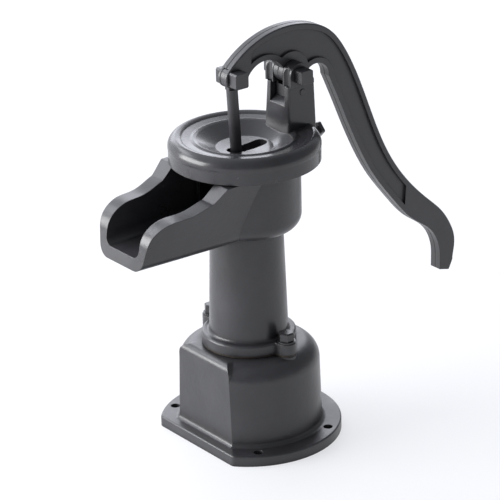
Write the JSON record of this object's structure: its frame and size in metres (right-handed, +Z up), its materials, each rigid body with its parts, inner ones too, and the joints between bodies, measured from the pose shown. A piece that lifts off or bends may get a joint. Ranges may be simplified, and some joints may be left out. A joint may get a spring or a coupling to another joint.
{
  "type": "hand well pump",
  "caption": "Cast-iron pitcher pump: curved lever on a swivelling cap, open spout, barrel with plunger and leathers, and a flanged suction base.",
  "frame": {"origin": "where the barrel's axis meets the floor, centre of the suction socket's mouth", "axes": "+Z up the barrel, -X along the spout, +X towards the lever's grip, +Y across the lever's plane"},
  "size_m": [0.4078, 0.1778, 0.4049],
  "materials": {
    "base_paint": "semi-gloss black enamel over cast iron",
    "body_paint": "semi-gloss black enamel over cast iron",
    "cap_paint": "semi-gloss black enamel over cast iron",
    "saddle_paint": "semi-gloss black enamel over cast iron",
    "lever_paint": "semi-gloss black enamel over cast iron",
    "hardware_paint": "black enamel over square and hex hardware",
    "rod_paint": "black enamel over drawn steel rod",
    "bare_iron": "bare cast iron, inside the barrel",
    "bare_steel": "bare steel hardware inside the barrel",
    "brass": "turned brass",
    "leather": "oiled valve leather"
  },
  "bodies": {
    "stand": {"base_casting": "base_paint", "valve_gasket": "leather", "pump_body": "body_paint", "flange_bolts": "hardware_paint", "flange_washers": "hardware_paint"},
    "foot_valve": {"valve_flap": "leather", "valve_weight": "bare_iron", "valve_weight_screw": "bare_steel"},
    "cap": {"cap_casting": "cap_paint", "fulcrum_saddle": "saddle_paint", "saddle_rivet": "hardware_paint", "fulcrum_bolt": "hardware_paint", "fulcrum_nut": "hardware_paint"},
    "set_screw": {"set_screw": "hardware_paint"},
    "lever": {"handle_lever": "lever_paint", "rod_pin": "hardware_paint", "rod_pin_nut": "hardware_paint"},
    "rod": {"plunger_rod": "rod_paint", "rod_jam_nut": "bare_steel", "rod_eye": "bare_iron"},
    "plunger": {"plunger_cage": "bare_iron", "plunger_pin": "bare_steel", "cup_leather": "leather", "plunger_follower": "bare_iron"},
    "poppet": {"poppet_valve": "brass", "poppet_washer": "leather"}
  },
  "joints": [
    {"name": "cap_swivel", "type": "hinge", "parent": "stand", "child": "cap", "pos_m": [0, 0, 0.288], "axis": [0, 0, 1], "range_deg": [-150, 150]},
    {"name": "set_screw_travel", "type": "slide", "parent": "cap", "child": "set_screw", "axis": [1, 0, 0], "range_m": [0, 0.004]},
    {"name": "lever_pivot", "type": "hinge", "parent": "cap", "child": "lever", "pos_m": [0.053, 0, 0.3586], "axis": [0, 1, 0], "range_deg": [-50, 12]},
    {"name": "rod_pivot", "type": "hinge", "parent": "lever", "child": "rod", "pos_m": [-0.014, 0, 0.367], "axis": [0, 1, 0], "range_deg": [-13, 54]},
    {"name": "plunger_stroke", "type": "slide", "parent": "cap", "child": "plunger", "axis": [0, 0, 1], "range_m": [-0.0561, 0.0136]},
    {"name": "poppet_lift", "type": "slide", "parent": "plunger", "child": "poppet", "axis": [0, 0, 1], "range_m": [0, 0.004]},
    {"name": "foot_valve_hinge", "type": "hinge", "parent": "stand", "child": "foot_valve", "pos_m": [0.025, 0, 0.096], "axis": [0, 1, 0], "range_deg": [0, 22]}
  ],
  "couplings": [
    {"joint": "rod_pivot", "follows": "lever_pivot", "ratio": -1.06},
    {"joint": "plunger_stroke", "follows": "lever_pivot", "m_per_rad": 0.064}
  ]
}
